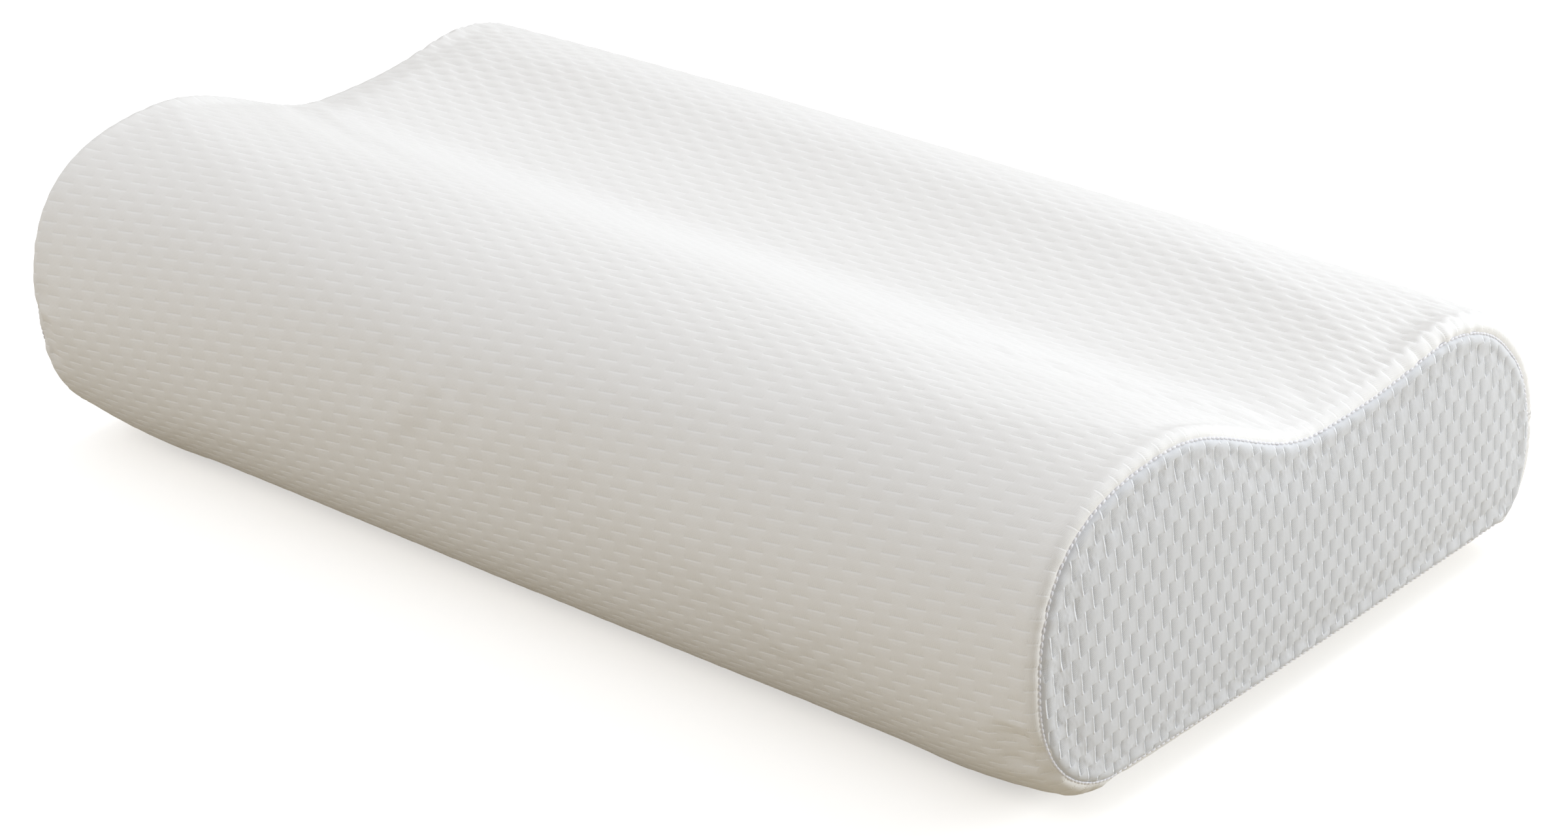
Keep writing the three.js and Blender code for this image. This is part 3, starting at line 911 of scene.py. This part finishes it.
class Shader:
    """A material's nodes, with short calls for the arithmetic between them."""

    def __init__(self, name, roughness, metallic=0.0, specular=0.5):
        self.material = bpy.data.materials.new(name)
        self.material.use_nodes = True
        self.tree = self.material.node_tree
        self.surface = self.tree.nodes["Principled BSDF"]
        self.surface.inputs["Roughness"].default_value = roughness
        self.surface.inputs["Metallic"].default_value = metallic
        self.surface.inputs["Specular IOR Level"].default_value = specular

    def feed(self, socket, value):
        if isinstance(value, bpy.types.NodeSocket):
            self.tree.links.new(value, socket)
        else:
            socket.default_value = value

    def math(self, operation, *values, clamp=False):
        node = self.tree.nodes.new("ShaderNodeMath")
        node.operation = operation
        node.use_clamp = clamp
        for socket, value in zip(node.inputs, values):
            self.feed(socket, value)
        return node.outputs[0]

    def times(self, first, second):
        return self.math("MULTIPLY", first, second)

    def plus(self, first, second):
        return self.math("ADD", first, second)

    def scale_add(self, value, scale, more, clamp=False):
        return self.math("MULTIPLY_ADD", value, scale, more, clamp=clamp)

    def ease(self, value, low, high, start=0.0, end=1.0):
        node = self.tree.nodes.new("ShaderNodeMapRange")
        node.interpolation_type = "SMOOTHSTEP"
        names = ("Value", "From Min", "From Max", "To Min", "To Max")
        for name, v in zip(names, (value, low, high, start, end)):
            self.feed(node.inputs[name], v)
        return node.outputs[0]

    def attribute(self, name):
        node = self.tree.nodes.new("ShaderNodeAttribute")
        node.attribute_name = name
        return node.outputs["Fac"]

    def place(self):
        return self.tree.nodes.new("ShaderNodeTexCoord").outputs["Object"]

    def noise(self, scale, detail=2.0, roughness=0.5):
        node = self.tree.nodes.new("ShaderNodeTexNoise")
        self.feed(node.inputs["Vector"], self.place())
        node.inputs["Scale"].default_value = scale
        node.inputs["Detail"].default_value = detail
        node.inputs["Roughness"].default_value = roughness
        return node.outputs["Fac"]

    def cells(self, scale):
        node = self.tree.nodes.new("ShaderNodeTexVoronoi")
        self.feed(node.inputs["Vector"], self.place())
        node.inputs["Scale"].default_value = scale
        return node.outputs["Distance"]

    def mix(self, factor, first, second):
        node = self.tree.nodes.new("ShaderNodeMix")
        node.data_type = "RGBA"
        self.feed(node.inputs[0], factor)
        self.feed(node.inputs[6], (*first, 1) if isinstance(first, tuple) else first)
        self.feed(node.inputs[7], (*second, 1) if isinstance(second, tuple) else second)
        return node.outputs[2]

    def wave(self, value, length):
        return self.math("SINE", self.times(value, 2 * math.pi / length))

    def finish(self, colour, height, sheen=0.0, roughness=None):
        """Sets the surface. height is the relief in metres."""
        self.feed(self.surface.inputs["Base Color"], colour)
        if roughness is not None:
            self.feed(self.surface.inputs["Roughness"], roughness)
        if sheen:
            self.surface.inputs["Sheen Weight"].default_value = sheen
            self.surface.inputs["Sheen Roughness"].default_value = 0.45
        bump = self.tree.nodes.new("ShaderNodeBump")
        bump.inputs["Strength"].default_value = 1.0
        bump.inputs["Distance"].default_value = 1.0
        self.feed(bump.inputs["Height"], height)
        self.tree.links.new(bump.outputs["Normal"], self.surface.inputs["Normal"])
        return self.material


def knit_material(name, light, shade, fall, paint, ribs, groove_bump, lip_bump, loop_height):
    """Air-layer knit, as pocket_grooves has it, with grooves, ribs and fine loops. Its colour holds
    painted light: a toothed painted shadow along each groove past the lip, painted shade on the
    grooves' gentle slopes and a painted highlight on the lips. paint is how much of the shade
    shows, and how strongly that painted light shows; the values after it are heights in metres."""
    m = Shader(name, roughness=0.88, specular=0.25)
    along, across, edge = (m.attribute(key) for key in ("along", "across", "edge"))
    scaled = m.math("DIVIDE", across, PITCH)
    column = m.math("FLOOR", scaled)
    off = m.math("SUBTRACT", scaled, column)
    near_seam = m.ease(edge, 0.3 * MM, 2.2 * MM)

    def open_here(next_column):
        shifted = m.scale_add(m.plus(column, next_column), PERIOD / 2, along)
        phase = m.math("FRACT", m.math("DIVIDE", shifted, PERIOD))
        starts = m.ease(phase, 0.0, 0.05)
        ends = m.ease(phase, POCKET_SHARE - 0.05, POCKET_SHARE, 1.0, 0.0)
        return m.times(m.times(starts, ends), near_seam)

    def bell(centre, width):
        ratio = m.math("DIVIDE", m.math("SUBTRACT", off, centre), width)
        return m.math("EXPONENT", m.times(m.times(ratio, ratio), -1.0))

    here, following = open_here(0.0), open_here(1.0)
    gentle = m.times(here, m.math("POWER", m.math("SUBTRACT", 1.0, off), fall))
    steep = m.times(following, bell(1.0, 0.05))
    groove = m.math("MAXIMUM", gentle, steep)
    lip = m.times(following, bell(0.87, 0.09))
    # Used only in the colour: the dark line just past each lip is a painted shadow.
    painted_tooth_shadow = m.times(here, bell(0.05, 0.09))
    rib = m.wave(m.scale_add(across, -0.25, along), RIB)
    ribbed = m.times(gentle, rib)
    loops = m.times(m.wave(m.plus(along, across), LOOP), m.wave(m.math("SUBTRACT", along, across), LOOP))

    patches = m.noise(9.0, 2.0)
    fuzz = m.noise(1400.0, 3.0, 0.7)
    # The colour's painted light: a toothed painted shadow along each groove, painted shade on the gentle
    # slopes and a painted highlight on the lips, with a fixed lean towards the shade colour; patches and
    # fuzz add the knit's own random tone.
    painted_light_and_tone = m.times(painted_tooth_shadow, m.scale_add(rib, 0.3 * paint, 0.7 * paint))
    painted_light_and_tone = m.scale_add(gentle, 0.35 * paint, painted_light_and_tone)
    painted_light_and_tone = m.scale_add(lip, -1.9 * paint, painted_light_and_tone)
    painted_light_and_tone = m.plus(painted_light_and_tone, 1.6 * paint)
    painted_light_and_tone = m.scale_add(m.math("SUBTRACT", patches, 0.5), 0.10, painted_light_and_tone)
    painted_light_and_tone = m.scale_add(m.math("SUBTRACT", fuzz, 0.5), 0.12, painted_light_and_tone, clamp=True)
    colour = m.mix(painted_light_and_tone, light, shade)

    height = m.times(groove, -groove_bump)
    for part, size in ((lip, lip_bump), (ribbed, ribs), (loops, loop_height), (fuzz, 0.03 * MM)):
        height = m.scale_add(part, size, height)
    roughness = m.scale_add(groove, 0.06, 0.86)
    return m.finish(colour, height, sheen=0.12, roughness=roughness)


def thread_material(name, colour, shade):
    """Twisted polyester thread."""
    m = Shader(name, roughness=0.6, specular=0.35)
    twist = m.noise(900.0, 2.0, 0.6)
    height = m.times(twist, 0.08 * MM)
    return m.finish(m.mix(m.ease(twist, 0.35, 0.65), shade, colour), height, sheen=0.2)


def tricot_material():
    m = Shader("liner_tricot", roughness=0.9, specular=0.2)
    along, across = m.attribute("along"), m.attribute("across")
    wales = m.wave(across, 0.8 * MM)
    courses = m.wave(along, 0.6 * MM)
    mesh = m.times(wales, courses)
    colour = m.mix(m.scale_add(mesh, 0.2, m.noise(14.0)), (0.93, 0.92, 0.89), (0.80, 0.79, 0.76))
    return m.finish(colour, m.times(mesh, 0.05 * MM), sheen=0.1)


def foam_material():
    """Memory foam: fine open cells with a few larger pores, whose hollows get painted shade, and a faint
    yellowing.
    """
    m = Shader("memory_foam", roughness=0.95, specular=0.2)
    fine = m.cells(900.0)
    pores = m.ease(m.cells(160.0), 0.05, 0.22)
    patches = m.noise(6.0, 3.0)
    colour = m.mix(m.ease(patches, 0.3, 0.7), (0.90, 0.84, 0.66), (0.86, 0.77, 0.55))
    # The darker pore colour is painted shade in the pores' hollows.
    colour = m.mix(pores, (0.66, 0.56, 0.36), colour)
    height = m.times(fine, 0.12 * MM)
    height = m.plus(height, m.times(pores, 0.35 * MM))
    return m.finish(colour, height)


def woven_material(name, roughness, specular, zigzag, warp, weft, patch_scale, tone, colours, sheen):
    """Woven tape or ribbon. warp and weft are each (spacing, height), and zigzag turns the warp
    into a herringbone of that width."""
    m = Shader(name, roughness=roughness, specular=specular)
    along, across = m.attribute("along"), m.attribute("across")
    if zigzag:
        along = m.plus(along, m.math("PINGPONG", across, zigzag))
    threads, picks = m.wave(along, warp[0]), m.wave(across, weft[0])
    shade = m.scale_add(threads, tone, m.noise(patch_scale), clamp=True)
    height = m.plus(m.times(threads, warp[1]), m.times(picks, weft[1]))
    return m.finish(m.mix(shade, *colours), height, sheen=sheen)


def nylon_material():
    m = Shader("zip_nylon", roughness=0.35)
    grain = m.noise(400.0)
    roughness = m.scale_add(grain, 0.2, 0.28)
    colour = m.mix(grain, (0.84, 0.84, 0.83), (0.93, 0.93, 0.92))
    made = m.finish(colour, m.times(grain, 0.01 * MM), roughness=roughness)
    m.surface.inputs["Coat Weight"].default_value = 0.2
    return made


def metal_material():
    """Nickel-plated die casting, rubbed brighter in patches."""
    m = Shader("zip_metal", roughness=0.3, metallic=1.0)
    wear = m.ease(m.noise(260.0, 4.0, 0.6), 0.35, 0.7)
    scratches = m.noise(2400.0, 2.0, 0.8)
    colour = m.mix(wear, (0.62, 0.63, 0.65), (0.80, 0.81, 0.83))
    roughness = m.scale_add(wear, -0.14, 0.38)
    height = m.times(scratches, 0.012 * MM)
    return m.finish(colour, height, roughness=roughness)


WRAP_KNIT = knit_material(
    "knit_wrap",
    light=(0.92, 0.915, 0.91),
    shade=(0.62, 0.59, 0.54),
    fall=WRAP_FALL,
    paint=0.07,
    ribs=0.03 * MM,
    groove_bump=0.08 * MM,
    lip_bump=0.04 * MM,
    loop_height=0.02 * MM,
)
END_KNIT = knit_material(
    "knit_end",
    light=(0.95, 0.965, 1.0),
    shade=(0.48, 0.49, 0.51),
    fall=PANEL_FALL,
    paint=0.33,
    ribs=0.07 * MM,
    groove_bump=0.22 * MM,
    lip_bump=0.27 * MM,
    loop_height=0.01 * MM,
)
THREAD = thread_material("seam_thread", (0.88, 0.88, 0.91), (0.78, 0.78, 0.83))
TRICOT = tricot_material()
FOAM = foam_material()
TAPE = woven_material(
    "zip_tape", 0.8, 0.3, 1.6 * MM, (0.55 * MM, 0.05 * MM), (0.4 * MM, 0.02 * MM), 60.0, 0.25,
    ((0.80, 0.80, 0.79), (0.91, 0.91, 0.90)), 0.1,
)
NYLON = nylon_material()
METAL = metal_material()
LABEL = woven_material(
    "label_cloth", 0.5, 0.4, None, (0.35 * MM, 0.02 * MM), (0.9 * MM, 0.015 * MM), 90.0, 0.15,
    ((0.86, 0.86, 0.86), (0.95, 0.95, 0.95)), 0.25,
)


def dress(piece, material, slot, body, *nodes):
    """Gives a piece its material and the body that it rides on, and hides the CAD parts that it replaces.
    slot is not used.
    """
    piece.data.materials.clear()
    piece.data.materials.append(material)
    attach(piece, body)
    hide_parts(*nodes)
    return piece


# ---- Camera, light and floor ----

AZIMUTH = math.radians(43.218)
ELEVATION = math.radians(26.309)
ROLL = math.radians(-3.075)
VIEW_DISTANCE = 5.474 * DEPTH
VIEW_TARGET = Vector((0.077, -0.055, 0.15)) * DEPTH


def make_camera():
    data = bpy.data.cameras.new("camera")
    data.sensor_width = 36
    data.lens = 98.93
    data.shift_x = 0.0061
    camera = linked("camera", data)
    back = Vector(
        (
            math.sin(AZIMUTH) * math.cos(ELEVATION),
            -math.cos(AZIMUTH) * math.cos(ELEVATION),
            math.sin(ELEVATION),
        )
    )
    right = Vector((0, 0, 1)).cross(back).normalized()
    up = back.cross(right)
    turned = Matrix((right, up, back)).transposed() @ Matrix.Rotation(ROLL, 3, "Z")
    camera.matrix_world = Matrix.Translation(VIEW_TARGET + back * VIEW_DISTANCE) @ turned.to_4x4()
    bpy.context.scene.camera = camera


# The floor looks paler than the light that it sends back, as an overexposed backdrop does.
FLOOR_SEEN = (0.95, 0.95, 0.95)
FLOOR_GLOW = 0.45
FLOOR_BOUNCE = (0.52, 0.45, 0.325)


def make_floor():
    half = 6.0
    corners = [(-half, -half, 0), (half, -half, 0), (half, half, 0), (-half, half, 0)]
    floor = make_object("floor", [(x, y, z - 0.2 * MM) for x, y, z in corners], [(0, 1, 2, 3)])
    m = Shader("floor", roughness=0.9, specular=0.1)
    seen = m.tree.nodes.new("ShaderNodeLightPath").outputs["Is Camera Ray"]
    m.finish(m.mix(seen, FLOOR_BOUNCE, FLOOR_SEEN), 0.0)
    m.surface.inputs["Emission Color"].default_value = (1, 1, 1, 1)
    m.feed(m.surface.inputs["Emission Strength"], m.times(seen, FLOOR_GLOW))
    floor.data.materials.append(m.material)


def make_light(name, place, size, power, colour):
    data = bpy.data.lights.new(name, "AREA")
    data.size = size
    data.energy = power
    data.color = colour
    light = linked(name, data)
    light.location = place
    light.rotation_euler = (-Vector(place)).to_track_quat("-Z", "Y").to_euler()


def make_world(strength):
    world = bpy.data.worlds.new("studio")
    world.use_nodes = True
    background = world.node_tree.nodes["Background"]
    background.inputs["Color"].default_value = (1.0, 0.997, 0.993, 1)
    background.inputs["Strength"].default_value = strength
    bpy.context.scene.world = world


make_camera()
make_floor()
make_world(0.555)
make_light("key", (0.15, 1.4, 2.1), 1.6, 18, (0.98, 0.99, 1.0))
make_light("side", (1.7, 1.5, 0.6), 0.6, 30, (0.90, 0.95, 1.0))
make_light("fill", (-0.9, -1.8, 1.6), 1.2, 12, (1.0, 0.99, 0.98))
bpy.context.scene.view_settings.view_transform = "Standard"

# ---- Assembly ----

simulated = simulated_cover()

wrap, wrap_length = make_cover_wrap(simulated)
dress(wrap, WRAP_KNIT, "knit_wrap", "pillow", "cover_wrap")

SIDES = (("left", -1), ("right", 1))
PANEL = cover_panel()
for side, sign in SIDES:
    panel = make_cover_end(simulated, side, sign, PANEL)
    dress(panel, END_KNIT, "knit_end", "pillow", f"cover_end_{side}")
    low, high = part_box(f"cover_end_{side}")
    centre, ahead, out = seam_frames(0, cover_seam_inset, sign, 2.6 * MM, 1.1 * MM)
    thread = stitch_mesh(f"seam_stitches_{side}", centre, ahead, out, 2.9 * MM, 0.9 * MM, 0.7 * MM)
    dress(thread, THREAD, "seam_thread", "pillow", f"seam_thread_{side}")

foam = make_foam()
dress(foam, FOAM, "memory_foam", "pillow", "foam_core")

liner, liner_length = make_liner_wrap()
dress(liner, TRICOT, "liner_tricot", "pillow", "liner_wrap")
for side, sign in SIDES:
    panel = make_liner_end(side, sign)
    dress(panel, TRICOT, "liner_tricot", "pillow", f"liner_end_{side}")
    low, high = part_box(f"liner_end_{side}")
    centre, ahead, out = seam_frames(LINER_INSET, liner_seam_inset, sign, 2.4 * MM, 0.3 * MM)
    thread = stitch_mesh(f"liner_stitches_{side}", centre, ahead, out, 1.9 * MM, 0.5 * MM, 0.4 * MM)
    dress(thread, THREAD, "seam_thread", "pillow", f"liner_seam_{side}")

# The zip.
TAPE_INSET = 2.3 * MM
TAPE_THICKNESS = 0.6 * MM
TAPE_EDGES = (0.6 * MM, 14.6 * MM)
TAPE_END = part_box("zip_tape_upper")[1].x
STITCH_SPACING = 3.1 * MM
for row, sign in (("lower", -1), ("upper", 1)):
    edges = sorted(sign * s for s in TAPE_EDGES)
    tape = back_strip(
        f"zip_tape_woven_{row}", *edges, -TAPE_END, TAPE_END, TAPE_INSET, TAPE_INSET + TAPE_THICKNESS
    )
    dress(tape, TAPE, "zip_tape", "pillow", f"zip_tape_{row}")
    dress(make_coil(row, sign), NYLON, "zip_nylon", "pillow", f"zip_coil_{row}")

    x = np.arange(-TAPE_END + STITCH_SPACING / 2, TAPE_END, STITCH_SPACING)
    y, z = OUTLINE.at(np.full(len(x), sign * STITCH_LINE), -0.1 * MM)
    in_y, in_z = OUTLINE.at(np.full(len(x), sign * STITCH_LINE), 1.0)
    out = np.column_stack([0 * x, y - in_y, z - in_z])
    out /= np.linalg.norm(out, axis=1)[:, None]
    places = settle(np.column_stack([x, y, z]))
    sewn = stitch_mesh(
        f"zip_stitches_{row}", places, along_x(len(x)), out, 2.5 * MM, 0.55 * MM, 0.45 * MM
    )
    dress(sewn, THREAD, "seam_thread", "pillow", f"zip_stitch_{row}")
    clip = make_stop(f"zip_top_stop_{row}", f"zip_top_clip_{row}")
    dress(clip, METAL, "zip_metal", "pillow", f"zip_top_stop_{row}")

dress(make_stop("zip_bottom_stop", "zip_bottom_clip"), METAL, "zip_metal", "pillow", "zip_bottom_stop")
dress(softened("zip_slider", "zip_slider_cast", 0.16 * MM), METAL, "zip_metal", "slider", "zip_slider")
dress(softened("zip_pull", "zip_pull_cast", 0.2 * MM), METAL, "zip_metal", "pull", "zip_pull")

# The blank care label, sewn on below the zip at the left end.
LABEL_CURL = 2.5 * MM  # how far the free lower corner stands off
LABEL_SEWN = 8 * MM  # the length by the end seam that doesn't curl
low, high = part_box("care_label")
label = back_strip(
    "care_label_ribbon",
    low.z - BACK_BULGE[1],
    high.z - BACK_BULGE[1],
    low.x,
    high.x,
    -0.8 * MM,
    -0.4 * MM,
)
points = get_points(label)
free_edge = smooth(low.x + LABEL_SEWN, high.x, points[:, 0])
points[:, 1] += LABEL_CURL * free_edge * smooth(high.z, low.z, points[:, 2])
set_points(label, points)
dress(label, LABEL, "label_cloth", "pillow", "care_label")
